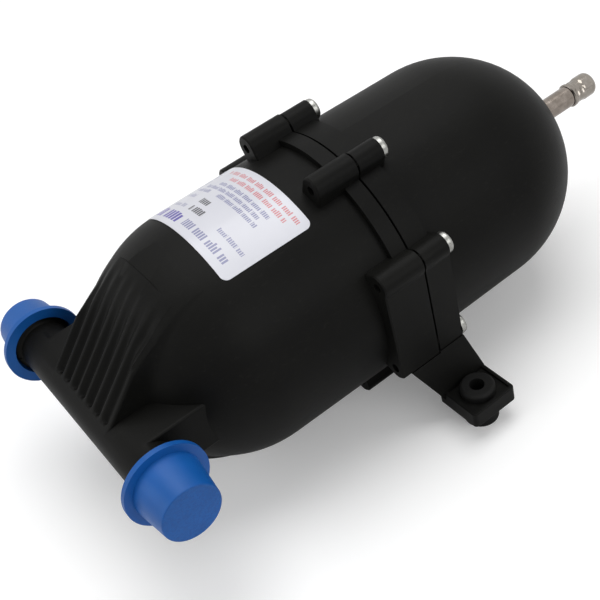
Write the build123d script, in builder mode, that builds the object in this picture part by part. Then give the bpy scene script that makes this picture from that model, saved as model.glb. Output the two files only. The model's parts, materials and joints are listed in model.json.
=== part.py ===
from build123d import *
import os
from math import asin, cos, radians, sin, sqrt

os.makedirs("parts", exist_ok=True)

# Accumulator tank for a small water system, in millimetres.
# The tank's axis runs along X: water side and ports at -X, air side and valve at +X.
# The origin is midway between the two fixing holes, on the plane that the feet stand on.

# Barrel and its two round ends
barrel_r = 45.5
wall = 4.0
front_barrel = 55.0
rear_barrel = 52.7
rear_draft = 0.7

# Flange ring, screw bosses and side walls around the joint, beyond the barrel
ring_stand = 2.5
ring_front = 6.5
ring_rear = 9.0
boss_count = 8
boss_stand = 4.5
boss_r = 4.7
boss_front = 17.0
boss_rear = 11.0
boss_edge = 0.5
cheek_stand = 4.6
cheek_drop = 2.4
cheek_fillet = 3.0
rear_less = 0.4
seam_gap = 0.5
shell_gap = 0.3

# Cross tube, ports and webs at the nose
nose_reach = 5.7
port_r = 9.3
port_bore_r = 6.5
port_half = 54.2
thread_length = 10.0
thread_depth = 1.05
thread_taper = 1 / 32
thread_chamfer = 1.0
inlet_r = 5.0
wedge_half = 20.5
wedge_edge = 1.2
wedge_foot = 6.0
wedge_round_more = 6.5
wedge_round_end = 30.0
wedge_round_slope = 0.5
web_wide = 15.0
web_edge = 1.0

# Flutes moulded into the wedge, above and below
flute_count = 7
flute_spacing = 5.5
flute_w = 3.0
flute_low = 3.7
flute_high = 24.0
flute_dome_step = 2.5
flute_dome_fade = 0.48
flute_tube_step = 0.7
flute_web = 6.0

# Feet: the leg that joins each to the flange, the pad and its dished top
leg_wide = 12.1
leg_front = 13.7
leg_drop = 15.8
leg_out = 3.9
leg_bulge = 2.4
pad_thick = 6.7
pad_front = 4.3
pad_rear = 15.0
pad_under = 2.6
pad_long = 15.7
pad_corner = 1.6
pad_edge = 0.5
dish_rim = 1.4
dish_deep = 1.0
hole_out = 6.8

# Rubber grommets
grommet_hole_r = 2.75
grommet_neck_r = 4.6
grommet_r = 6.4
grommet_rise = 2.2
grommet_foot = 7.4
grommet_round = 1.2
fit_gap = 0.1

# Flange screws
screw_r = 2.1
screw_l = 25.0
screw_tip = 2.0
head_r = 4.0
head_h = 2.6
head_round = 1.2
recess_l = 4.4
recess_w = 0.9
recess_deep = 1.4
screw_gap = 0.05
screw_clear = 0.25
screw_bite = 0.35
screw_room = 0.2

# Diaphragm
rubber = 1.6
rubber_gap = 0.35
lip_wide = 4.5
bead_out = 2.5
bead_r = 1.7
button_r = 8.0
button_h = 1.6

# Air valve stem, its seal and its cap
stem_r = 4.3
stem_out = 19.6
stem_head_r = 7.6
stem_head = 2.2
stem_thread = 9.2
stem_thread_less = 0.45
stem_edge = 0.4
stem_bore_r = 2.0
core_bore = 9.0
seal_r = 7.0
seal_t = 1.6
seat_boss_r = 9.5
seat_depth = 5.3
cap_gap = 0.25
cap_start = 0.3
cap_length = 12.4
cap_skirt_wall = 1.1
cap_waist_wall = 0.7
cap_head_wall = 1.05
cap_skirt = 1.6
cap_neck = 5.4
cap_flare = 1.0
cap_shoulder = 1.2
cap_lip = 0.4
cap_round = 2.0
disc_t = 1.0

# Valve core
core_r = 2.55
core_l = 7.6
core_drop = 0.8
spring_bore_r = 1.35
core_floor = 1.0
pin_r = 0.5
pin_gap = 0.15
pin_reach = 0.6
collar_r = 1.05
collar_t = 0.6
collar_drop = 1.3
plug_r = 1.5
plug_t = 1.2
washer_r = 1.55
washer_t = 0.8
wire_r = 0.16
spring_turns = 5

# Push-on port caps, beyond the thread
rim_t = 2.0
rim_wide = 4.85
hood_root = 1.95
hood_tip = 0.15
hood_room = 7.0
hood_wall = 0.8
hood_round = 0.5

# Label on the front barrel
label_half_angle = 33.0
label_start = 22.4
label_end = 58.0
label_t = 0.15
label_gap = 0.05
label_corner = 2.5

# Worked out from the sizes above
cavity_r = barrel_r - wall
rear_r = barrel_r - rear_draft
rear_end = rear_barrel + rear_r
ring_r = barrel_r + ring_stand
boss_circle_r = barrel_r + boss_stand
boss_start_angle = 180 / boss_count
boss_z = boss_circle_r * sin(radians(boss_start_angle))
cheek_y = barrel_r + cheek_stand
cheek_bottom = boss_z + cheek_drop
leg_inner = cheek_y - leg_wide
pad_mid = (pad_rear - pad_front) / 2
pad_top = cheek_bottom + leg_drop
pad_root = cheek_y + leg_out
pad_inner = pad_root - pad_under
pad_end = pad_root + pad_long
hole_y = pad_root + hole_out
seam_x = -pad_mid
axis_height = pad_top + pad_thick + grommet_foot
pilot_r = screw_r - screw_bite
port_x = front_barrel + barrel_r + nose_reach
tube_front = port_x + port_r
thread_start = port_half - thread_length
thread_r = port_r + thread_depth
web_outer = wedge_half + web_wide
belt_angle = asin((barrel_r - port_r) / (port_x - front_barrel))
wedge_round_r = barrel_r + wedge_round_more
flute_start = port_x + flute_low
flute_end = front_barrel + flute_high
lip_r = cavity_r + lip_wide
bead_circle_r = cavity_r + bead_out
thread_root = rear_end + stem_out
stem_tip = thread_root + stem_thread
stem_thread_r = stem_r - stem_thread_less
seat_face = rear_end - seat_depth
core_bore_r = core_r + fit_gap
spring_r = pin_r + wire_r + 4 * pin_gap / 3
hood_root_r = thread_r + hood_root
hood_tip_r = thread_r + hood_tip
hood_end = port_half + hood_room


def across(x):
    """Plane square to the tank's axis, x from the joint: its x is +Y and its y is +Z."""
    return Plane(origin=(seam_x + x, 0, axis_height), x_dir=(0, 1, 0), z_dir=(1, 0, 0))


def along(y=0.0):
    """Upright plane beside the tank's axis: its x is +X and its y is +Z."""
    return Plane(origin=(seam_x, y, axis_height), x_dir=(1, 0, 0), z_dir=(0, -1, 0))


def level(z=0.0):
    """Level plane, z above the tank's axis: its x is +X and its y is +Y."""
    return Plane(origin=(seam_x, 0, axis_height + z), x_dir=(1, 0, 0), z_dir=(0, 0, 1))


tank_axis = Axis((seam_x, 0, axis_height), (1, 0, 0))
tube_axis = Axis((seam_x - port_x, 0, axis_height), (0, 1, 0))


def write(part, name):
    """Label one finished piece and write it under the same name."""
    part.label = name
    export_step(part, f"parts/{name}.step")


def bullet(radius, end_radius, length, way):
    """Half outline of a barrel with a round end, from the joint out; way is -1 or 1."""
    Polyline((0, 0), (0, radius), (way * length, end_radius))
    CenterArc((way * length, 0), end_radius, 90, -90 * way)
    Line((way * (length + end_radius), 0), (0, 0))


def boss_outline(radius, root_r):
    """Bosses around the joint, each a round end on straight sides that run in to the barrel."""
    with PolarLocations(boss_circle_r, boss_count, start_angle=boss_start_angle):
        Circle(radius)
    with PolarLocations((boss_circle_r + root_r) / 2, boss_count, start_angle=boss_start_angle):
        Rectangle(boss_circle_r - root_r, 2 * radius)


def flange_outline(sketch, radius, wall_y):
    """Bosses and flat side walls; the walls trim the lower bosses and curve in to the upper ones."""
    boss_outline(radius, cavity_r + 1)
    for side in (-1, 1):
        with Locations((side * (leg_inner + wall_y) / 2, (boss_z - cheek_bottom) / 2)):
            Rectangle(wall_y - leg_inner, boss_z + cheek_bottom)
        with Locations((side * (wall_y + radius), -(boss_z + radius) / 2)):
            Rectangle(2 * radius, boss_z + radius, mode=Mode.SUBTRACT)
    corners = [v for v in sketch.vertices() if abs(abs(v.X) - wall_y) < 0.01 and v.Y > radius]
    fillet(corners, cheek_fillet)


# Wedge between the cross tube and the round front, flat where it meets the tube
belt_x = sin(belt_angle)
belt_z = cos(belt_angle)
round_drop = sqrt(wedge_round_r**2 - wedge_round_end**2)
round_end_r = barrel_r - wedge_round_r + round_drop
round_tip_r = round_end_r - wedge_round_slope * (tube_front - front_barrel - wedge_round_end + 1)


def round_outline():
    """Half outline that the wedge keeps inside: a slow curve off the barrel, then a slope."""
    Polyline((-front_barrel, 0), (-front_barrel, barrel_r))
    ThreePointArc(
        (-front_barrel, barrel_r),
        (
            -front_barrel - wedge_round_end / 2,
            barrel_r - wedge_round_r + sqrt(wedge_round_r**2 - (wedge_round_end / 2) ** 2),
        ),
        (-front_barrel - wedge_round_end, round_end_r),
    )
    Polyline(
        (-front_barrel - wedge_round_end, round_end_r),
        (-tube_front - 1, round_tip_r),
        (-tube_front - 1, 0),
        (-front_barrel, 0),
    )


with BuildPart() as nose_wedge:
    with BuildSketch(along()):
        with BuildLine():
            upper = Polyline(
                (-port_x - port_r * belt_x, port_r * belt_z),
                (-front_barrel - barrel_r * belt_x, barrel_r * belt_z),
            )
            ThreePointArc(
                upper @ 1,
                (-front_barrel - barrel_r * sin(belt_angle / 2), barrel_r * cos(belt_angle / 2)),
                (-front_barrel, barrel_r),
            )
            Line((-front_barrel, barrel_r), (-front_barrel, -barrel_r))
            ThreePointArc(
                (-front_barrel, -barrel_r),
                (-front_barrel - barrel_r * sin(belt_angle / 2), -barrel_r * cos(belt_angle / 2)),
                (-front_barrel - barrel_r * belt_x, -barrel_r * belt_z),
            )
            Line(
                (-front_barrel - barrel_r * belt_x, -barrel_r * belt_z),
                (-port_x - port_r * belt_x, -port_r * belt_z),
            )
            ThreePointArc(
                (-port_x - port_r * belt_x, -port_r * belt_z),
                (-tube_front, 0),
                (-port_x - port_r * belt_x, port_r * belt_z),
            )
        make_face()
    extrude(amount=wedge_half, both=True)
    with BuildSketch(along()):
        with BuildLine():
            round_outline()
        make_face()
    revolve(axis=tank_axis, mode=Mode.INTERSECT)
    wedge_edges = [
        edge
        for face in nose_wedge.faces().filter_by(Axis.Y)
        for edge in face.edges()
        if seam_x - port_x < edge.center().X < seam_x - front_barrel - 1
    ]
    fillet(wedge_edges, wedge_edge)

# Concave foot of the wedge, a ring rolled round the dome beside each flat side of the wedge
foot_r = sqrt((barrel_r + wedge_foot) ** 2 - (wedge_half + wedge_foot) ** 2)
foot_share = barrel_r / (barrel_r + wedge_foot)
foot_mid = wedge_half + wedge_foot

with BuildPart() as wedge_feet:
    with BuildSketch(level()):
        for side in (-1, 1):
            with BuildLine():
                Polyline(
                    (-front_barrel - foot_r, side * wedge_half),
                    (-front_barrel - foot_r, side * (wedge_half - 2)),
                    (-front_barrel - foot_r + wedge_foot, side * (wedge_half - 2)),
                    (-front_barrel - foot_r * foot_share, side * foot_mid * foot_share),
                )
                RadiusArc(
                    (-front_barrel - foot_r * foot_share, side * foot_mid * foot_share),
                    (-front_barrel - foot_r, side * wedge_half),
                    side * wedge_foot,
                )
            make_face()
    revolve(axis=Axis((seam_x - front_barrel, 0, axis_height), (0, 1, 0)))
    with BuildSketch(along()):
        with BuildLine():
            round_outline()
        make_face()
    revolve(axis=tank_axis, mode=Mode.INTERSECT)

# Cores that leave the flutes: deep between tube and dome, fading out on the dome
floor_r = barrel_r + flute_dome_fade * flute_dome_step
flute_length = flute_start - flute_end

with BuildPart() as flute_cores:
    with BuildSketch(level()):
        with Locations((-(flute_start + flute_end) / 2, 0)):
            with GridLocations(flute_length, flute_spacing, 1, flute_count):
                SlotOverall(flute_length, flute_w)
    extrude(amount=barrel_r, both=True)
    with Locations(Location((seam_x - front_barrel + flute_dome_step, 0, axis_height))):
        Sphere(floor_r, mode=Mode.SUBTRACT)
    with BuildSketch(along()):
        with Locations((-port_x, 0)):
            Circle(port_r - flute_tube_step)
        with Locations((-port_x, 0)):
            Rectangle(2 * wedge_half, flute_web)
    extrude(amount=wedge_half, both=True, mode=Mode.SUBTRACT)

# Front bosses and side walls with a small chamfer round their front faces
with BuildPart() as front_flange:
    with BuildSketch(across(0)) as front_outline:
        flange_outline(front_outline, boss_r, cheek_y)
    extrude(amount=-boss_front)
    flange_fronts = front_flange.faces().filter_by(Axis.X).group_by(Axis.X)[0]
    chamfer(flange_fronts.edges(), boss_edge)

# Level webs beside the wedge, from the cross tube to the dome
with BuildPart() as side_webs:
    with BuildSketch(level()):
        for side in (-1, 1):
            with Locations((-(port_x + front_barrel) / 2, side * (wedge_half + web_outer) / 2)):
                Rectangle(port_x - front_barrel, web_outer - wedge_half)
    extrude(amount=port_r, both=True)
    web_edges = [
        edge for edge in side_webs.edges().filter_by(Axis.X) if abs(edge.center().Y) > web_outer - 1
    ]
    fillet(web_edges, web_edge)

# Water side: barrel, round front, wedge, cross tube, webs, flange, bosses and side walls
with BuildPart() as front_shell:
    with BuildSketch(along()):
        with BuildLine():
            bullet(barrel_r, barrel_r, front_barrel, -1)
        make_face()
    revolve(axis=tank_axis)
    with BuildSketch(along()):
        with Locations((-port_x, 0)):
            Circle(port_r)
    extrude(amount=port_half, both=True)
    add(nose_wedge.part)
    add(wedge_feet.part)
    add(side_webs.part)
    add(flute_cores.part, mode=Mode.SUBTRACT)
    with BuildSketch(level()):
        for side in (-1, 1):
            with BuildLine():
                Polyline(
                    (-port_x, side * thread_start),
                    (-port_x + port_r, side * thread_start),
                    (
                        -port_x + thread_r + (port_half - thread_start) * thread_taper,
                        side * (thread_start + thread_chamfer),
                    ),
                    (-port_x + thread_r, side * (port_half - thread_chamfer)),
                    (-port_x + thread_r - thread_chamfer, side * port_half),
                    (-port_x, side * port_half),
                    close=True,
                )
            make_face()
    revolve(axis=tube_axis)
    with BuildSketch(across(0)):
        Circle(ring_r)
    extrude(amount=-ring_front)
    add(front_flange.part)
    with BuildSketch(along()):
        with BuildLine():
            bullet(cavity_r, cavity_r, front_barrel, -1)
        make_face()
    revolve(axis=tank_axis, mode=Mode.SUBTRACT)
    with BuildSketch(along()):
        with Locations((-port_x, 0)):
            Circle(port_bore_r)
    extrude(amount=port_half, both=True, mode=Mode.SUBTRACT)
    with BuildSketch(across(-port_x)):
        Circle(inlet_r)
    extrude(amount=port_x - front_barrel, mode=Mode.SUBTRACT)
    with BuildSketch(along()):
        with Locations((rubber / 2, bead_circle_r)):
            Circle(bead_r + fit_gap)
    revolve(axis=tank_axis, mode=Mode.SUBTRACT)
    with BuildSketch(across(0)):
        with PolarLocations(boss_circle_r, boss_count, start_angle=boss_start_angle):
            Circle(screw_r + screw_gap)
    extrude(amount=-(screw_l - boss_rear + screw_room), mode=Mode.SUBTRACT)
    with BuildSketch(across(0)):
        with PolarLocations(boss_circle_r, boss_count, start_angle=boss_start_angle):
            Circle(pilot_r)
    extrude(amount=-boss_front - 1, mode=Mode.SUBTRACT)
write(front_shell.part, "front_shell")

# Pads of the feet, with rounded edges and a dished top round the hole
with BuildPart() as pads:
    with BuildSketch(level(-pad_top)):
        for side in (-1, 1):
            with Locations((pad_mid, side * (pad_inner + pad_end) / 2)):
                Rectangle(pad_rear + pad_front, pad_end - pad_inner)
    extrude(amount=-pad_thick)
    outer_corners = [
        edge for edge in pads.edges().filter_by(Axis.Z) if abs(edge.center().Y) > pad_end - 1
    ]
    fillet(outer_corners, pad_corner)
    pad_faces = pads.faces().filter_by(Axis.Z)
    fillet(pad_faces.edges(), pad_edge)
    with BuildSketch(level(-pad_top)):
        for side in (-1, 1):
            with Locations((pad_mid, side * (pad_root + pad_end - dish_rim) / 2)):
                Rectangle(pad_rear + pad_front - 2 * dish_rim, pad_end - pad_root - dish_rim)
    extrude(amount=-dish_deep, mode=Mode.SUBTRACT)

# Feet: a sloping leg with a curved underside below each side wall, cut clear of the other shell
leg_low = pad_top + pad_thick - pad_edge

with BuildPart() as feet:
    with BuildSketch(across(0)):
        for side in (-1, 1):
            with BuildLine():
                Polyline(
                    (side * leg_inner, -cheek_bottom),
                    (side * cheek_y, -cheek_bottom),
                    (side * pad_root, -pad_top),
                    (side * pad_root, -leg_low),
                    (side * (pad_inner + pad_edge), -leg_low),
                )
                ThreePointArc(
                    (side * (pad_inner + pad_edge), -leg_low),
                    (
                        side * ((leg_inner + pad_inner + pad_edge) / 2 + leg_bulge),
                        -(cheek_bottom + leg_low) / 2 + leg_bulge / 2,
                    ),
                    (side * leg_inner, -cheek_bottom),
                )
            make_face()
    extrude(amount=boss_front, both=True)
    with BuildSketch(along()):
        with BuildLine():
            Polyline(
                (-leg_front, -cheek_bottom),
                (boss_rear, -cheek_bottom),
                (pad_rear, -pad_top),
                (pad_rear, -leg_low),
                (-pad_front, -leg_low),
                (-pad_front, -pad_top - pad_thick / 2),
                close=True,
            )
        make_face()
    extrude(amount=pad_end, both=True, mode=Mode.INTERSECT)
    add(pads.part)
    with BuildSketch(level(-pad_top)):
        with Locations((pad_mid, -hole_y), (pad_mid, hole_y)):
            Circle(grommet_neck_r + fit_gap)
    extrude(amount=-pad_thick, mode=Mode.SUBTRACT)
    with BuildSketch(across(0)):
        Circle(ring_r + shell_gap)
        boss_outline(boss_r + shell_gap, cavity_r)
    extrude(amount=-boss_front - 1, mode=Mode.SUBTRACT)
    with BuildSketch(across(0)):
        with Locations((0, -cheek_bottom)):
            Rectangle(2 * pad_end, 2 * shell_gap)
    extrude(amount=-boss_front - 1, mode=Mode.SUBTRACT)
    with BuildSketch(across(boss_rear)):
        with PolarLocations(boss_circle_r, boss_count, start_angle=boss_start_angle):
            Circle(head_r + shell_gap)
    extrude(amount=pad_rear, mode=Mode.SUBTRACT)

# Air side: barrel, domed end, flange, bosses, side walls, feet and the seat for the valve
with BuildPart() as rear_shell:
    with BuildSketch(along()):
        with BuildLine():
            bullet(barrel_r, rear_r, rear_barrel, 1)
        make_face()
    revolve(axis=tank_axis)
    with BuildSketch(across(0)):
        Circle(ring_r - rear_less)
    extrude(amount=ring_rear)
    with BuildSketch(across(0)) as rear_outline:
        flange_outline(rear_outline, boss_r - rear_less, cheek_y - rear_less)
    extrude(amount=boss_rear)
    with BuildSketch(across(0)):
        Circle(cheek_y + boss_r)
    extrude(amount=seam_gap, mode=Mode.SUBTRACT)
    add(feet.part)
    with BuildSketch(along()):
        with BuildLine():
            bullet(cavity_r, rear_r - wall, rear_barrel, 1)
        make_face()
    revolve(axis=tank_axis, mode=Mode.SUBTRACT)
    with BuildSketch(across(seat_face)):
        Circle(seat_boss_r)
    extrude(amount=wall - 1)
    with BuildSketch(across(seat_face)):
        Circle(stem_r + fit_gap)
    extrude(amount=2 * wall, mode=Mode.SUBTRACT)
    with BuildSketch(across(0)):
        Circle(lip_r + fit_gap)
    extrude(amount=rubber, mode=Mode.SUBTRACT)
    with BuildSketch(along()):
        with Locations((rubber / 2, bead_circle_r)):
            Circle(bead_r + fit_gap)
    revolve(axis=tank_axis, mode=Mode.SUBTRACT)
    with BuildSketch(across(0)):
        with PolarLocations(boss_circle_r, boss_count, start_angle=boss_start_angle):
            Circle(screw_r + screw_clear)
    extrude(amount=boss_rear + 1, mode=Mode.SUBTRACT)
write(rear_shell.part, "rear_shell")

# Rubber cup that the air presses out against the water side, with its bead and centre button
cup_r = cavity_r - rubber_gap
cup_in = cup_r - rubber
cup_tip = front_barrel + cup_r

with BuildPart() as diaphragm:
    with BuildSketch(along()):
        with BuildLine():
            Line((0, cup_r), (-front_barrel, cup_r))
            CenterArc((-front_barrel, 0), cup_r, 90, 90)
            Line((-cup_tip, 0), (-front_barrel - cup_in, 0))
            CenterArc((-front_barrel, 0), cup_in, 180, -90)
            Polyline(
                (-front_barrel, cup_in),
                (rubber, cup_in),
                (rubber, lip_r),
                (0, lip_r),
                (0, cup_r),
            )
        make_face()
        with Locations((rubber / 2, bead_circle_r)):
            Circle(bead_r)
    revolve(axis=tank_axis)
    with BuildSketch(across(-front_barrel - cup_in + button_h)):
        Circle(button_r)
    extrude(amount=-button_h - rubber / 2)
write(diaphragm.part, "diaphragm")


# Eight thread-forming screws, driven from the air side into the front bosses
for number in range(boss_count):
    angle = boss_start_angle + number * 360 / boss_count
    with BuildPart() as flange_screw:
        with BuildSketch(across(boss_rear)):
            with PolarLocations(boss_circle_r, 1, start_angle=angle):
                Circle(head_r)
        extrude(amount=head_h)
        head_edge = flange_screw.edges().sort_by(Axis.X)[-1]
        fillet(head_edge, head_round)
        with BuildSketch(across(boss_rear)):
            with PolarLocations(boss_circle_r, 1, start_angle=angle):
                Circle(screw_r)
        extrude(amount=-screw_l)
        chamfer(flange_screw.edges().sort_by(Axis.X)[0], screw_tip, screw_tip / 2)
        with BuildSketch(across(boss_rear + head_h)):
            with PolarLocations(boss_circle_r, 1, start_angle=angle):
                Rectangle(recess_l, recess_w)
                Rectangle(recess_w, recess_l)
        extrude(amount=-recess_deep, mode=Mode.SUBTRACT)
    write(flange_screw.part, f"flange_screw_{number + 1}")

# Rubber grommets: a collar on the pad, a neck in its hole and a tall foot under it
for name, side in (("foot_grommet_near", -1), ("foot_grommet_far", 1)):
    with BuildPart() as grommet:
        with BuildSketch(level(-pad_top)):
            with Locations((pad_mid, side * hole_y)):
                Circle(grommet_neck_r)
        extrude(amount=-pad_thick)
        with BuildSketch(level(-pad_top - dish_deep)):
            with Locations((pad_mid, side * hole_y)):
                Circle(grommet_r)
        extrude(amount=dish_deep + grommet_rise)
        top_edge = grommet.edges().sort_by(Axis.Z)[-1]
        fillet(top_edge, grommet_round)
        with BuildSketch(level(-axis_height)):
            with Locations((pad_mid, side * hole_y)):
                Circle(grommet_r)
        extrude(amount=grommet_foot)
        fillet(grommet.edges().sort_by(Axis.Z)[0], grommet_round / 2)
        with BuildSketch(level(-axis_height)):
            with Locations((pad_mid, side * hole_y)):
                Circle(grommet_hole_r)
        extrude(amount=axis_height, mode=Mode.SUBTRACT)
    write(grommet.part, name)

# Turned stem: head inside the dome, smooth shank, threaded end, bore for the core
seal_in = seat_face - seal_t
core_top = stem_tip - core_drop
core_seat = core_top - core_l

with BuildPart() as valve_stem:
    with BuildSketch(across(seal_in - stem_head)):
        Circle(stem_head_r)
    extrude(amount=stem_head)
    with BuildSketch(across(seal_in)):
        Circle(stem_r)
    extrude(amount=thread_root - seal_in)
    with BuildSketch(across(thread_root)):
        Circle(stem_thread_r)
    extrude(amount=stem_thread)
    chamfer(valve_stem.edges().sort_by(Axis.X)[-1], stem_edge)
    with BuildSketch(across(seal_in - stem_head)):
        Circle(stem_bore_r)
    extrude(amount=stem_tip, mode=Mode.SUBTRACT)
    with BuildSketch(across(stem_tip - core_bore)):
        Circle(core_bore_r)
    extrude(amount=core_bore, mode=Mode.SUBTRACT)
write(valve_stem.part, "valve_stem")

with BuildPart() as stem_seal:
    with BuildSketch(across(seal_in)):
        Circle(seal_r)
        Circle(stem_r + fit_gap, mode=Mode.SUBTRACT)
    extrude(amount=seal_t)
write(stem_seal.part, "stem_seal")

# Valve core: body with a spring chamber, pin with collar and plug, washer and spring
with BuildPart() as core_body:
    with BuildSketch(across(core_seat)):
        Circle(core_r)
        Circle(pin_r + pin_gap, mode=Mode.SUBTRACT)
    extrude(amount=core_l)
    with BuildSketch(across(core_seat + core_floor)):
        Circle(spring_bore_r)
    extrude(amount=core_l, mode=Mode.SUBTRACT)
write(core_body.part, "core_body")

pin_top = stem_tip - core_drop + pin_reach
collar_x = core_top - collar_drop - collar_t
washer_x = core_seat - pin_gap - washer_t

with BuildPart() as core_pin:
    with BuildSketch(across(washer_x - plug_t)):
        Circle(plug_r)
    extrude(amount=plug_t)
    with BuildSketch(across(washer_x)):
        Circle(pin_r)
    extrude(amount=pin_top - washer_x)
    with BuildSketch(across(collar_x)):
        Circle(collar_r)
    extrude(amount=collar_t)
write(core_pin.part, "core_pin")

with BuildPart() as core_seal:
    with BuildSketch(across(washer_x)):
        Circle(washer_r)
        Circle(pin_r + pin_gap / 3, mode=Mode.SUBTRACT)
    extrude(amount=washer_t)
write(core_seal.part, "core_seal")

spring_low = core_seat + core_floor + wire_r + pin_gap / 3
spring_high = collar_x - wire_r - pin_gap / 3

with BuildPart() as core_spring:
    with BuildLine() as coil:
        Helix(
            (spring_high - spring_low) / spring_turns,
            spring_high - spring_low,
            spring_r,
            center=(seam_x + spring_low, 0, axis_height),
            direction=(1, 0, 0),
        )
    with BuildSketch(Plane(origin=coil.line @ 0, z_dir=coil.line % 0)):
        Circle(wire_r)
    sweep(is_frenet=True)
write(core_spring.part, "core_spring")

# Screw cap on the stem: flared skirt, narrow waist and a round head, with its rubber disc
cap_x = thread_root + cap_start
cap_end = cap_x + cap_length
disc_x = stem_tip + cap_gap
cap_skirt_r = stem_thread_r + cap_skirt_wall
cap_waist_r = stem_thread_r + cap_waist_wall
cap_head_r = stem_thread_r + cap_head_wall

with BuildPart() as valve_cap:
    with BuildSketch(along()):
        with BuildLine():
            Polyline(
                (cap_x, 0),
                (cap_x, cap_skirt_r - cap_lip),
                (cap_x + cap_lip, cap_skirt_r),
                (cap_x + cap_skirt, cap_skirt_r),
                (cap_x + cap_skirt + cap_flare, cap_waist_r),
                (cap_x + cap_neck, cap_waist_r),
                (cap_x + cap_neck + cap_shoulder, cap_head_r),
                (cap_end - cap_round, cap_head_r),
            )
            RadiusArc((cap_end - cap_round, cap_head_r), (cap_end, cap_head_r - cap_round), cap_round)
            Polyline((cap_end, cap_head_r - cap_round), (cap_end, 0), (cap_x, 0))
        make_face()
    revolve(axis=tank_axis)
    with BuildSketch(across(cap_x)):
        Circle(stem_thread_r + cap_gap / 2)
    extrude(amount=disc_x + disc_t - cap_x, mode=Mode.SUBTRACT)
write(valve_cap.part, "valve_cap")

with BuildPart() as cap_seal:
    with BuildSketch(across(disc_x)):
        Circle(stem_thread_r)
        Circle(collar_r, mode=Mode.SUBTRACT)
    extrude(amount=disc_t)
write(cap_seal.part, "cap_seal")

# Push-on caps over the ports: a flat rim and a tapered hood with a closed end
for name, side in (("port_cap_near", -1), ("port_cap_far", 1)):
    with BuildPart() as port_cap:
        with BuildSketch(level()):
            with BuildLine():
                Polyline(
                    (-port_x, side * hood_end),
                    (-port_x + hood_tip_r, side * hood_end),
                    (-port_x + hood_root_r, side * (thread_start + rim_t)),
                    (-port_x + thread_r + rim_wide, side * (thread_start + rim_t)),
                    (-port_x + thread_r + rim_wide, side * thread_start),
                    (-port_x + hood_root_r - hood_wall, side * thread_start),
                    (-port_x + hood_tip_r - hood_wall, side * (hood_end - hood_wall)),
                    (-port_x, side * (hood_end - hood_wall)),
                    close=True,
                )
            make_face()
        revolve(axis=tube_axis)
        tip_edge = port_cap.edges().sort_by(Axis.Y)[-1 if side > 0 else 0]
        fillet(tip_edge, hood_round)
    write(port_cap.part, name)

# Label: a thin film over the top of the front barrel, with rounded corners
label_r = barrel_r + label_gap
label_lean = radians(label_half_angle)
label_side = Plane(
    origin=(seam_x, 0, axis_height), x_dir=(1, 0, 0), z_dir=(0, -cos(label_lean), sin(label_lean))
)

with BuildPart() as label:
    with BuildSketch(label_side):
        with Locations((-(label_start + label_end) / 2, label_r + label_t / 2)):
            Rectangle(label_end - label_start, label_t)
    revolve(axis=tank_axis, revolution_arc=2 * label_half_angle)
    corners = [edge for edge in label.edges() if edge.length < 2 * label_t]
    fillet(corners, label_corner)
write(label.part, "label")
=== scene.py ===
import bpy
import json
from math import asin, cos, pi, radians, sin, sqrt
from mathutils import Euler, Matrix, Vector

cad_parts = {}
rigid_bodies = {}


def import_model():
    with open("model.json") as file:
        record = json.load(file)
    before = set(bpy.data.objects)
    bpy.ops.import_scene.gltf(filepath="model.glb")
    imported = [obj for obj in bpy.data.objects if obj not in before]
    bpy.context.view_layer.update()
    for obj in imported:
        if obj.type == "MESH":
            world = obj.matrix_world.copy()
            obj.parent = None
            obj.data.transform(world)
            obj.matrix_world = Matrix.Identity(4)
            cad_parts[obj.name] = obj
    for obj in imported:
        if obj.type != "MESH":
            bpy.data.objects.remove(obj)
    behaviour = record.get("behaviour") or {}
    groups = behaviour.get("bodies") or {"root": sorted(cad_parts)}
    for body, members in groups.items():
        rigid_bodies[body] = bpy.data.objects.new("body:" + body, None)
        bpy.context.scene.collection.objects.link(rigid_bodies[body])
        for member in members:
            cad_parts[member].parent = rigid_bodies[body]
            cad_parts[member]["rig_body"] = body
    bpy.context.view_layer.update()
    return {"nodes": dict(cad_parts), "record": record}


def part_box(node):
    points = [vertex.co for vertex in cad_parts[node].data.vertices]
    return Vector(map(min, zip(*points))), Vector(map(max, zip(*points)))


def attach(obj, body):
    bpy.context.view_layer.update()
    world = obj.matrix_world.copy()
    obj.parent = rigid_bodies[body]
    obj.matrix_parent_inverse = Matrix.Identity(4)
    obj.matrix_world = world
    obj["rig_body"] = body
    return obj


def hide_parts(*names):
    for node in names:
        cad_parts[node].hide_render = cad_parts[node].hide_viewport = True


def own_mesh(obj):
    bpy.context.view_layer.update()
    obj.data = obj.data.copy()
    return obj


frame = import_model()

MM = 0.001
nodes = frame["nodes"]
slots = {entry["node"]: entry["material_slot"] for entry in frame["record"]["subparts"]}


def middle(node):
    """Centre of a CAD node's box."""
    low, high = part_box(node)
    return (low + high) / 2


# Lines that the whole tank is built on, read from its solids
tank_z = middle("valve_stem").z
tube_x = middle("port_cap_near").x
seam_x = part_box("front_shell")[1].x

# Barrel, cross tube and wedge of the water side, as in the solids
barrel_r = 45.5 * MM
front_barrel = 55.0 * MM
tube_r = 9.3 * MM
round_r = 52.0 * MM
round_end = 30.0 * MM
round_slope = 0.5

# Soft blend between the wedge's top and its round sides, less soft away from the middle
skin_blend = 3.0 * MM
skin_blend_least = 0.01 * MM
blend_half = 12 * MM
blend_run = 7 * MM

# Flutes over the wedge: where they start, how far they are full and how far they fade, from the joint
flute_count = 7
flute_pitch = 5.5 * MM
flute_deep = 2.8 * MM
flute_crest_cut = 0.9
flute_low = -111.0 * MM
flute_tip = 2.4 * MM
flute_full = -100.0 * MM
flute_fade = 25.0 * MM
flute_side_trim = 0.25 * MM
flute_grid = (70, 98)

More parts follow.
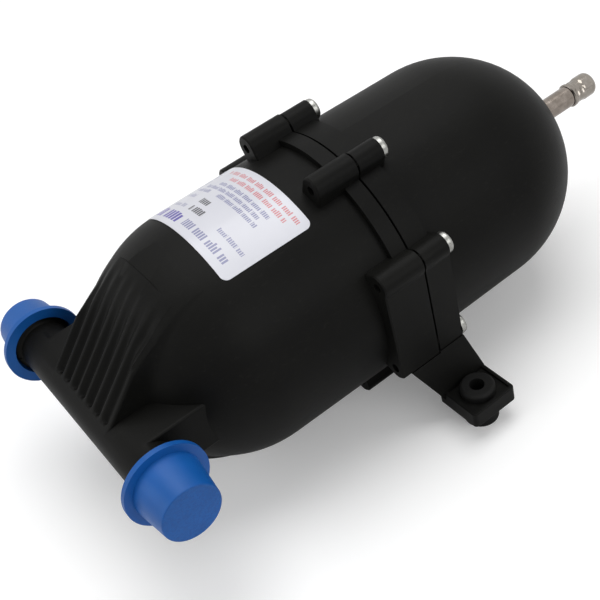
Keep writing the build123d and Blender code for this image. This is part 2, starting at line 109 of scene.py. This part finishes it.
# The old flutes are cleared to this depth, and the new skin overlaps what is left by these margins
clear_deep = 0.3 * MM
clear_over = 3 * MM
fill_root = 4 * MM
fill_end_margin = 1.5 * MM
fill_side_margin = 0.6 * MM
fill_end_slope = 0.08
fill_side_slope = 0.8
skin_lift = 0.02 * MM

# Walls that the new skin's filling stays behind, round the hollows of dome, tube and water inlet
dome_wall = 1.5 * MM
tube_wall = 1.2 * MM
inlet_clear_r = 5.6 * MM
inlet_clear_long = 60 * MM

# Part of the dome that is shaded as a true ball, along the tank from its middle
dome_low = -27.0 * MM
dome_high = -2.0 * MM
dome_slack = 0.12 * MM
dome_turn = radians(12.0)

# How far the flange's outer part stands back from the joint, and the ring that cuts it
seam_back = 0.45 * MM
seam_over = 1 * MM
seam_ring_r = 70 * MM
seam_core_long = 10 * MM

# Half inch taper pipe thread on the ports, and the valve's fine thread
port_crest_r = 10.66 * MM
port_pitch = 1.814 * MM
port_turns = 6
port_thread_run = 9.5 * MM
port_thread_lead = 0.8 * port_pitch
valve_crest_r = 3.85 * MM
valve_pitch = 0.794 * MM
valve_turns = 11
valve_thread_run = 8.9 * MM
groove_share = 0.97
groove_proud = 0.05 * MM
groove_steps = 48

# Grips of the valve cap: how they are turned, and their scoops' place along it, way out and half size
grip_turn = radians(60.0)
grip_count = 4
scoop_places = (2.3 * MM, 4.7 * MM)
scoop_out = 5.05 * MM
scoop_half = (1.26 * MM, 3.2 * MM, 0.9 * MM)

# Meshes: points closer than this are one, and sharper edges than this stay sharp
weld = 0.002 * MM
sharp_edge = radians(32.0)


# Shader maths
class Socket:
    """An output of a node; arithmetic on it adds Math nodes."""

    def __init__(self, wiring, socket):
        self.wiring = wiring
        self.socket = socket

    def math(self, operation, *others):
        return self.wiring.node("ShaderNodeMath", {"operation": operation}, [self, *others])

    def __add__(self, other):
        return self.math("ADD", other)

    def __sub__(self, other):
        return self.math("SUBTRACT", other)

    def __mul__(self, other):
        return self.math("MULTIPLY", other)

    def __gt__(self, other):
        return self.math("GREATER_THAN", other)

    def __lt__(self, other):
        return self.math("LESS_THAN", other)

    def __radd__(self, other):
        return self + other

    def __rmul__(self, other):
        return self * other

    def __rsub__(self, other):
        return self.wiring.node("ShaderNodeMath", {"operation": "SUBTRACT"}, [other, self])


class Wiring:
    """An emptied node tree, and the one method that makes its nodes."""

    def __init__(self, tree):
        self.tree = tree
        self.tree.nodes.clear()

    def feed(self, socket, value):
        """Links a value made by nodes, or sets a plain one."""
        if isinstance(value, Socket):
            self.tree.links.new(value.socket, socket)
        elif isinstance(value, tuple) and len(value) == 3 and socket.type == "RGBA":
            socket.default_value = (*value, 1.0)
        else:
            socket.default_value = value

    def node(self, kind, settings, inputs, output=0):
        """Makes a node, then its settings, then its inputs, given in order or by name or number."""
        new = self.tree.nodes.new(kind)
        for name, value in settings.items():
            setattr(new, name, value)
        named = inputs.items() if isinstance(inputs, dict) else enumerate(inputs)
        for key, value in named:
            self.feed(new.inputs[key], value)
        return Socket(self, new.outputs[output]) if new.outputs else None


class Finish(Wiring):
    """A material under construction, with one shader."""

    def __init__(self, name):
        self.material = bpy.data.materials.new(name)
        self.material.use_nodes = True
        super().__init__(self.material.node_tree)
        self.shader = self.tree.nodes.new("ShaderNodeBsdfPrincipled")
        output = self.tree.nodes.new("ShaderNodeOutputMaterial")
        self.tree.links.new(self.shader.outputs[0], output.inputs[0])
        self.place = self.node("ShaderNodeTexCoord", {}, [], "Object")

    def set(self, **values):
        """Sets or feeds the shader's sockets; an underscore stands for a space."""
        for name, value in values.items():
            self.feed(self.shader.inputs[name.replace("_", " ")], value)
        return self

    def noise(self, scale, detail=2.0, roughness=0.5, place=None):
        inputs = {"Vector": place or self.place, "Scale": scale, "Detail": detail, "Roughness": roughness}
        return self.node("ShaderNodeTexNoise", {"noise_dimensions": "3D"}, inputs)

    def dice(self, value):
        """A chance value for each value."""
        return self.node("ShaderNodeTexWhiteNoise", {"noise_dimensions": "1D"}, {"W": value})

    def stretched(self, scale):
        """Object coordinates scaled by a different share along each axis."""
        return self.node("ShaderNodeMapping", {}, {"Vector": self.place, "Scale": scale})

    def ramp(self, value, low, high, start=0.0, end=1.0):
        """Value brought from the range low to high into the range start to end, and held there."""
        inputs = {"Value": value, "From Min": low, "From Max": high, "To Min": start, "To Max": end}
        return self.node("ShaderNodeMapRange", {"clamp": True}, inputs)

    def mix(self, share, first, second):
        """Blends two colours, which a Mix node has in sockets 6 and 7 and gives out at 2."""
        return self.node("ShaderNodeMix", {"data_type": "RGBA"}, {0: share, 6: first, 7: second}, 2)

    def axes(self):
        """The three object coordinates as values."""
        return [self.node("ShaderNodeSeparateXYZ", {}, [self.place], axis) for axis in range(3)]

    def bump(self, height, distance, under=None):
        """A bumped normal; under is a finer bump below it."""
        inputs = {"Height": height, "Distance": distance}
        if under is not None:
            inputs["Normal"] = under
        return self.node("ShaderNodeBump", {}, inputs)


# Finishes
def black_moulding():
    """Glass-filled nylon: near black, satin, with a fine grain and faint flow marks."""
    f = Finish("black_moulding")
    dark = (0.0026, 0.0026, 0.0024)
    light = (0.0056, 0.0056, 0.0050)
    fibre = (0.014, 0.014, 0.012)
    clouds = f.noise(28.0, 3.0)
    flow = f.noise(60.0, 4.0, 0.6, f.stretched((0.25, 1.0, 1.0)))
    fibres = f.noise(900.0, 2.0, 0.6, f.stretched((0.4, 1.0, 1.0)))
    grain = f.noise(2600.0, 2.0, 0.7)
    colour = f.mix(f.ramp(clouds * 0.6 + flow * 0.4, 0.35, 0.65), dark, light)
    colour = f.mix(f.ramp(fibres, 0.60, 0.78, 0.0, 0.35), colour, fibre)
    rough = f.ramp(flow * 0.5 + grain * 0.5, 0.3, 0.7, 0.40, 0.52)
    fine = f.bump(grain, 0.03 * MM)
    normal = f.bump(fibres, 0.02 * MM, fine)
    f.set(Base_Color=colour, Roughness=rough, Normal=normal)
    return f.set(IOR=1.4, Specular_IOR_Level=0.1).material


def blue_polythene():
    """Soft moulded cap: even blue, waxy sheen, fine mould grain, a rougher end face."""
    f = Finish("blue_polythene")
    dark = (0.0030, 0.080, 0.31)
    light = (0.0055, 0.094, 0.36)
    hollow = (0.010, 0.058, 0.22)
    clouds = f.noise(90.0, 3.0)
    grain = f.noise(2400.0, 2.0, 0.7)
    pebbles = f.noise(1300.0, 3.0, 0.7)
    end_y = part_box("port_cap_far")[1].y - 0.2 * MM
    end_face = f.axes()[1].math("ABSOLUTE") > end_y
    colour = f.mix(f.ramp(clouds, 0.3, 0.7), dark, light)
    colour = f.mix(f.ramp(pebbles, 0.42, 0.62) * end_face * 0.45, colour, hollow)
    rough = f.ramp(grain, 0.3, 0.7, 0.36, 0.50) + end_face * 0.1
    height = grain * 0.025 * MM + pebbles * end_face * 0.10 * MM
    f.set(Base_Color=colour, Roughness=rough, Normal=f.bump(height, 1.0))
    f.set(IOR=1.45, Specular_IOR_Level=0.32, Subsurface_Weight=0.08)
    return f.set(Subsurface_Radius=(0.2, 0.4, 1.0), Subsurface_Scale=0.8 * MM).material


def rubber(name, dark, light, sheen):
    """Moulded rubber with a dusty bloom."""
    f = Finish(name)
    clouds = f.noise(180.0, 4.0, 0.6)
    grain = f.noise(3000.0, 2.0, 0.7)
    colour = f.mix(f.ramp(clouds, 0.35, 0.7), dark, light)
    rough = f.ramp(clouds, 0.3, 0.7, 0.55, 0.75)
    f.set(Base_Color=colour, Roughness=rough, Normal=f.bump(grain, 0.03 * MM))
    return f.set(Specular_IOR_Level=sheen).material


def turned_metal(name, dark, light, low, high):
    """Metal with fine rings left round the tank's axis by the tool; low and high bound its roughness."""
    f = Finish(name)
    rings = f.noise(5200.0, 3.0, 0.6, f.stretched((1.0, 0.04, 0.04)))
    stain = f.noise(420.0, 3.0, 0.6)
    colour = f.mix(f.ramp(stain, 0.35, 0.7), dark, light)
    rough = f.ramp(rings * 0.6 + stain * 0.4, 0.3, 0.7, low, high)
    normal = f.bump(rings, 0.012 * MM)
    return f.set(Base_Color=colour, Metallic=1.0, Roughness=rough, Normal=normal).material


def printed_film():
    """Pale film with rows of plain printed blocks where a label has its words."""
    f = Finish("printed_film")
    label_half = radians(33.0)
    stroke_shift = 3.7
    low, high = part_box("label")
    x, y, z = f.axes()
    along = f.ramp(x, low.x, high.x)
    across = f.ramp(y.math("ARCTAN2", z - tank_z), -label_half, label_half)

    def band(value, start, end):
        return (value > start) * (value < end)

    def words(seed, line, side, letters, ink_share=0.66):
        """A row of blocks in word-like groups, too plain to read; line and side are its edges."""
        run = across * letters + seed * stroke_shift
        strokes = run.math("FRACT") < ink_share
        groups = across * (letters / 6.0) + seed * 11.3
        kept = f.dice(groups.math("FLOOR")) > 0.08
        tall = f.dice(run.math("FLOOR") + 0.5)
        start, end = line
        top = along < tall * (end - start) * 0.3 + (start + (end - start) * 0.75)
        row = (along > start) * top * band(across, *side)
        return row * kept * (groups.math("FRACT") < 0.86) * strokes

    def column(seed, line, side, letters, ink_share=0.66):
        """The same blocks turned to run along the tank."""
        run = along * letters + seed * stroke_shift
        groups = along * (letters / 5.0) + seed * 7.1
        kept = band(along, *line) * band(across, *side) * (run.math("FRACT") < ink_share)
        return kept * (groups.math("FRACT") < 0.82)

    grey = (0.56, 0.565, 0.62)
    white = (0.64, 0.645, 0.695)
    violet = (0.045, 0.02, 0.30)
    slate = (0.085, 0.09, 0.27)
    ink = (0.012, 0.012, 0.018)
    red = (0.50, 0.035, 0.045)
    rows = [
        (words(1.0, (0.07, 0.21), (0.60, 0.95), 26.0, 0.72), violet, 0.95),
        (words(2.0, (0.09, 0.18), (0.10, 0.57), 44.0), slate, 0.75),
        (words(3.0, (0.27, 0.325), (0.74, 0.95), 52.0), slate, 0.6),
        (words(4.0, (0.265, 0.34), (0.52, 0.68), 44.0, 0.74), ink, 0.9),
        (words(5.0, (0.27, 0.32), (0.08, 0.42), 60.0), slate, 0.7),
        (words(6.0, (0.395, 0.47), (0.58, 0.70), 44.0, 0.74), ink, 0.9),
        (words(7.0, (0.43, 0.485), (0.80, 0.94), 52.0), slate, 0.6),
        (words(8.0, (0.54, 0.59), (0.20, 0.90), 62.0), slate, 0.75),
        (words(9.0, (0.615, 0.665), (0.24, 0.86), 62.0), slate, 0.75),
        (words(10.0, (0.69, 0.74), (0.20, 0.80), 62.0), slate, 0.75),
        (words(11.0, (0.785, 0.84), (0.12, 0.74), 62.0), red, 0.75),
        (words(12.0, (0.875, 0.93), (0.06, 0.84), 62.0), red, 0.75),
        (column(13.0, (0.56, 0.93), (0.925, 0.965), 44.0), slate, 0.6),
    ]
    colour = f.mix(f.noise(60.0, 2.0), grey, white)
    for mask, tint, strength in rows:
        colour = f.mix(mask * strength, colour, tint)
    return f.set(Base_Color=colour, Roughness=0.34, Coat_Weight=0.2).material


finishes = {
    "moulding": black_moulding(),
    "port_caps": blue_polythene(),
    "rubber": rubber("moulded_rubber", (0.0035, 0.0035, 0.0035), (0.0075, 0.0075, 0.0070), 0.14),
    "membrane": rubber("smooth_membrane", (0.012, 0.012, 0.012), (0.026, 0.025, 0.024), 0.4),
    "valve_metal": turned_metal("plated_stem", (0.215, 0.185, 0.16), (0.30, 0.26, 0.23), 0.16, 0.26),
    "cap_metal": turned_metal("bright_cap", (0.26, 0.235, 0.205), (0.34, 0.31, 0.28), 0.08, 0.17),
    "brass_parts": turned_metal("turned_brass", (0.58, 0.42, 0.18), (0.72, 0.56, 0.28), 0.20, 0.34),
    "spring_wire": turned_metal("drawn_wire", (0.40, 0.40, 0.40), (0.56, 0.56, 0.55), 0.20, 0.34),
    "screws": turned_metal("zinc_plate", (0.26, 0.26, 0.245), (0.42, 0.42, 0.40), 0.20, 0.36),
    "label": printed_film(),
}

for node, slot in slots.items():
    nodes[node].data.materials.clear()
    nodes[node].data.materials.append(finishes[slot])


# Making and cutting of pieces
def deselect():
    """Leaves nothing selected, so that operators act only on what comes next."""
    bpy.ops.object.select_all(action="DESELECT")


def alone(piece):
    """Makes one object the only one that operators act on."""
    deselect()
    piece.select_set(True)
    bpy.context.view_layer.objects.active = piece


def turned():
    """The new primitive, with its turn and its proportions put into its mesh."""
    bpy.ops.object.transform_apply(location=False, rotation=True, scale=True)
    return bpy.context.object


def ball(radius, at):
    """A ball to cut with."""
    deselect()
    bpy.ops.mesh.primitive_uv_sphere_add(segments=96, ring_count=48, radius=radius, location=at)
    return turned()


def rod(radius, long, at, turn, facets=64):
    """A round rod to cut with."""
    deselect()
    bpy.ops.mesh.primitive_cylinder_add(
        vertices=facets, radius=radius, depth=long, location=at, rotation=turn
    )
    return turned()


def faces_outwards():
    """Turns the faces of the active piece outwards."""
    bpy.ops.object.mode_set(mode="EDIT")
    bpy.ops.mesh.select_all(action="SELECT")
    bpy.ops.mesh.normals_make_consistent(inside=False)
    bpy.ops.object.mode_set(mode="OBJECT")


def copy_of(node, name):
    """A welded copy of a CAD node's mesh, to be cut."""
    piece = bpy.data.objects.new(name, nodes[node].data.copy())
    bpy.context.scene.collection.objects.link(piece)
    alone(piece)
    bpy.ops.mesh.customdata_custom_splitnormals_clear()
    bpy.ops.object.mode_set(mode="EDIT")
    bpy.ops.mesh.select_all(action="SELECT")
    bpy.ops.mesh.remove_doubles(threshold=weld)
    bpy.ops.object.mode_set(mode="OBJECT")
    return piece


def combine(piece, other, operation):
    """Takes the other shape out of the piece or adds it, and deletes the other."""
    alone(piece)
    modifier = piece.modifiers.new("combine", "BOOLEAN")
    modifier.operation = operation
    modifier.solver = "EXACT"
    modifier.object = other
    bpy.ops.object.modifier_apply(modifier="combine")
    bpy.data.objects.remove(other)


def cut(piece, cutter):
    combine(piece, cutter, "DIFFERENCE")


def stand_for(piece, node, reshade=None):
    """Smooths the finished copy, which takes the node's place, body and finish."""
    alone(piece)
    bpy.ops.object.shade_smooth_by_angle(angle=sharp_edge)
    piece.modifiers.new("even_shading", "WEIGHTED_NORMAL").keep_sharp = True
    bpy.ops.object.modifier_apply(modifier="even_shading")
    if reshade:
        reshade(piece.data)
    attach(piece, nodes[node]["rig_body"])
    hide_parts(node)


def thread_groove(axis, at, lean, outward, crest, pitch, turns):
    """A right-hand helical groove with 60 degree sides, to cut with, that starts at a point of its axis."""
    reach = pitch * groove_share / sqrt(3)
    middle_r = crest - reach / 2 + groove_proud
    deselect()
    bpy.ops.mesh.primitive_circle_add(
        vertices=3, radius=reach, fill_type="NOTHING", location=at, rotation=(0, 0, lean)
    )
    cutter = turned()
    bpy.ops.object.mode_set(mode="EDIT")
    bpy.ops.mesh.select_all(action="SELECT")
    bpy.ops.transform.translate(value=Vector(outward) * middle_r)
    bpy.ops.object.mode_set(mode="OBJECT")
    sweep = cutter.modifiers.new("sweep", "SCREW")
    sweep.axis = axis
    sweep.iterations = turns
    sweep.screw_offset = pitch
    sweep.steps = groove_steps
    sweep.render_steps = groove_steps
    bpy.ops.object.modifier_apply(modifier="sweep")
    bpy.ops.object.mode_set(mode="EDIT")
    bpy.ops.mesh.select_all(action="SELECT")
    bpy.ops.mesh.remove_doubles(threshold=0.0001 * MM)
    bpy.ops.mesh.fill_holes(sides=3)
    bpy.ops.object.mode_set(mode="OBJECT")
    faces_outwards()
    return cutter


# Skin of the wedge, with its flutes
def eased(value):
    """A step from 0 to 1 with soft ends."""
    held = min(max(value, 0.0), 1.0)
    return held * held * (3 - 2 * held)


def wedge_skin(x, y):
    """Height of the plain wedge over the tank's axis, x from the joint and y from the middle."""
    lean = asin((barrel_r - tube_r) / (seam_x - tube_x - front_barrel))
    back = x + front_barrel
    if back < -barrel_r * sin(lean):
        top = (barrel_r + back * sin(lean)) / cos(lean)
    else:
        top = sqrt(barrel_r**2 - back**2)
    bend = max(back, -round_end)
    ring = barrel_r - round_r + sqrt(round_r**2 - bend**2) + round_slope * (back - bend)
    side = sqrt(ring**2 - y**2)
    soft = skin_blend * (1 - eased((abs(y) - blend_half) / blend_run)) + skin_blend_least
    return min(top, side) - max(soft - abs(top - side), 0.0) ** 2 / (4 * soft)


def flute_share(x, y):
    """Depth of the flutes as a share: soft ribs, full along the wedge, fading out up the dome."""
    if abs(y) > flute_count * flute_pitch / 2:
        return 0.0
    wave = (cos(2 * pi * y / flute_pitch) + flute_crest_cut) / (1 + flute_crest_cut)
    fade = 1 - eased((x - flute_full) / flute_fade)
    return max(0.0, wave) * eased((x - flute_low) / flute_tip) * fade


def flute_block(way, end_margin, side_margin, sink, far):
    """A block from the height far to the fluted skin; way is 1 for the wedge's top, -1 for below."""
    low_x = flute_low - end_margin
    high_x = flute_full + flute_fade + end_margin
    half_y = flute_count * flute_pitch / 2 - flute_side_trim + side_margin
    deselect()
    rows, columns = flute_grid
    bpy.ops.mesh.primitive_grid_add(x_subdivisions=rows, y_subdivisions=columns, size=1.0)
    block = bpy.context.object
    bpy.ops.object.mode_set(mode="EDIT")
    bpy.ops.mesh.select_all(action="SELECT")
    bpy.ops.mesh.extrude_region_move(TRANSFORM_OT_translate={"value": (0, 0, -1)})
    bpy.ops.object.mode_set(mode="OBJECT")
    for vertex in block.data.vertices:
        x = low_x + (vertex.co.x + 0.5) * (high_x - low_x)
        y = vertex.co.y * 2 * half_y
        past_end = max(low_x + end_margin - x, x - high_x + end_margin, 0.0)
        past_side = max(abs(y) - half_y + side_margin, 0.0)
        dive = fill_end_slope * past_end + fill_side_slope * past_side
        skin = wedge_skin(x, y) - sink - flute_deep * flute_share(x, y) + skin_lift - dive
        height = far if vertex.co.z < -0.5 else skin
        vertex.co = (seam_x + x, y, tank_z + way * height)
    faces_outwards()
    return block


def soft_flutes(shell):
    """Recasts the flutes with round ribs that fade out on the dome."""
    dome_at = (seam_x - front_barrel, 0, tank_z)
    tube_at = (tube_x, 0, tank_z)
    for way in (1, -1):
        cut(shell, flute_block(way, 0.0, 0.0, clear_deep, barrel_r + clear_over))
        filling = flute_block(way, fill_end_margin, fill_side_margin, 0.0, fill_root)
        cut(filling, ball(barrel_r - dome_wall, dome_at))
        cut(filling, rod(tube_r - tube_wall, inlet_clear_long, tube_at, (pi / 2, 0, 0)))
        cut(filling, rod(inlet_clear_r, inlet_clear_long, tube_at, (0, pi / 2, 0)))
        combine(shell, filling, "UNION")


def round_dome(mesh):
    """Shades the dome as a true ball round the flutes' ends, so that the new skin's border is not seen."""
    dome_at = Vector((seam_x - front_barrel, 0, tank_z))
    normals = [Vector(corner.vector) for corner in mesh.corner_normals]
    for corner, loop in enumerate(mesh.loops):
        spot = mesh.vertices[loop.vertex_index].co - dome_at
        on_ball = abs(spot.length - barrel_r) < dome_slack
        if on_ball and dome_low < spot.x < dome_high and normals[corner].angle(spot) < dome_turn:
            normals[corner] = spot.normalized()
    mesh.normals_split_custom_set(normals)


# The pieces that stand for their solids
def open_seam(shell):
    """Sets the flange's outer part back from the joint, so that the seam shows as a dark line."""
    along_tank = (0, pi / 2, 0)
    at = (seam_x - seam_back / 2 + seam_over, 0, tank_z)
    ring = rod(seam_ring_r, seam_back + 2 * seam_over, at, along_tank, 160)
    cut(ring, rod(barrel_r + seam_over, seam_core_long, at, along_tank))
    cut(shell, ring)


def threaded_shell():
    """The water side with soft flutes, an open seam, and taper threads on its two ports."""
    shell = copy_of("front_shell", "front_shell_threaded")
    soft_flutes(shell)
    open_seam(shell)
    port_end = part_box("front_shell")[1].y
    for side in (-1, 1):
        start = side * port_end - (port_thread_run if side > 0 else port_thread_lead)
        at = (tube_x, start, tank_z)
        cut(shell, thread_groove("Y", at, -pi / 2, (-1, 0, 0), port_crest_r, port_pitch, port_turns))
    stand_for(shell, "front_shell", round_dome)


def threaded_stem():
    """The valve stem with the fine thread that its cap screws on."""
    stem = copy_of("valve_stem", "valve_stem_threaded")
    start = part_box("valve_stem")[1].x - valve_thread_run
    at = (start, 0, tank_z)
    cut(stem, thread_groove("X", at, pi, (0, 1, 0), valve_crest_r, valve_pitch, valve_turns))
    stand_for(stem, "valve_stem")


def scooped_cap():
    """The valve cap with grips round its waist, each of two scoops beside a thin bar."""
    cap = copy_of("valve_cap", "valve_cap_scooped")
    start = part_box("valve_cap")[0].x
    for grip in range(grip_count):
        turn = grip_turn + grip * 2 * pi / grip_count
        for place in scoop_places:
            at = (start + place, -scoop_out * sin(turn), tank_z + scoop_out * cos(turn))
            deselect()
            bpy.ops.mesh.primitive_uv_sphere_add(
                segments=32, ring_count=24, radius=1.0, location=at, rotation=(turn, 0, 0), scale=scoop_half
            )
            cut(cap, turned())
    stand_for(cap, "valve_cap")


def closing_spring():
    """The valve's spring, as a welded copy with a mesh of its own that takes its solid's place."""
    spring = copy_of("core_spring", "core_spring_pressed")
    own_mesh(spring)
    stand_for(spring, "core_spring")


threaded_shell()
threaded_stem()
scooped_cap()
closing_spring()


# Floor, light and camera
def pale_floor():
    """Floor that keeps the tank's soft shadow and looks lighter away from the tank."""
    deselect()
    bpy.ops.mesh.primitive_plane_add(size=6.0, location=(0, 0, 0))
    floor = bpy.context.object
    floor.name = "floor"
    paint = Finish("floor_paint")
    black = (0.0, 0.0, 0.0)
    white = (1.0, 1.0, 1.0)
    tone = paint.mix(paint.noise(3.0, 2.0), (0.92, 0.92, 0.92), (0.94, 0.94, 0.94))
    seen = paint.node("ShaderNodeLightPath", {}, [], "Is Camera Ray")
    x, y, z = paint.axes()
    glow = paint.ramp((x * x + y * y).math("SQRT"), 0.4, 1.3, 0.16, 0.62)
    paint.set(Base_Color=tone, Roughness=0.9)
    paint.set(Emission_Color=paint.mix(seen * glow, black, white), Emission_Strength=1.0)
    floor.data.materials.append(paint.material)


def softbox(name, at, size, power):
    """A soft lamp that faces the tank."""
    lamp = bpy.data.lights.new(name, "AREA")
    lamp.shape = "RECTANGLE"
    lamp.size, lamp.size_y = size
    lamp.energy = power
    holder = bpy.data.objects.new(name, lamp)
    bpy.context.scene.collection.objects.link(holder)
    holder.location = at
    holder.rotation_euler = (Vector((0, 0, tank_z)) - Vector(at)).to_track_quat("-Z", "Y").to_euler()


def white_surround():
    """Even grey light, seen and mirrored as white."""
    world = bpy.data.worlds.new("surround")
    world.use_nodes = True
    bpy.context.scene.world = world
    sky = Wiring(world.node_tree)
    seen = sky.node("ShaderNodeBackground", {}, {"Color": (1.0, 1.0, 1.0)})
    lit = sky.node("ShaderNodeBackground", {}, {"Color": (0.35, 0.35, 0.35)})
    straight = sky.node("ShaderNodeLightPath", {}, [], "Is Camera Ray")
    through = sky.node("ShaderNodeLightPath", {}, [], "Is Transmission Ray")
    mirrored = sky.node("ShaderNodeLightPath", {}, [], "Is Glossy Ray")
    white = straight.math("MAXIMUM", through).math("MAXIMUM", mirrored)
    either = sky.node("ShaderNodeMixShader", {}, [white, lit, seen])
    sky.node("ShaderNodeOutputWorld", {}, [either])


camera_at = (-0.15445, -0.27048, 0.30527)
camera_turn = Euler((radians(47.18), radians(12.55), radians(-36.37)), "XYZ")
camera_lens = 64.66
sensor_width = 36.0

pale_floor()
softbox("top_softbox", (0.1, 0.15, 0.95), (0.9, 0.7), 6.0)
softbox("left_softbox", (-0.9, 0.25, 0.55), (0.6, 0.6), 2.0)
softbox("front_softbox", (0.15, -0.95, 0.6), (0.8, 0.5), 3.0)
white_surround()
eye = bpy.data.cameras.new("camera")
eye.lens = camera_lens
eye.sensor_width = sensor_width
camera = bpy.data.objects.new("camera", eye)
camera.location = camera_at
camera.rotation_euler = camera_turn
bpy.context.scene.collection.objects.link(camera)
bpy.context.scene.camera = camera
bpy.context.scene.view_settings.view_transform = "Standard"
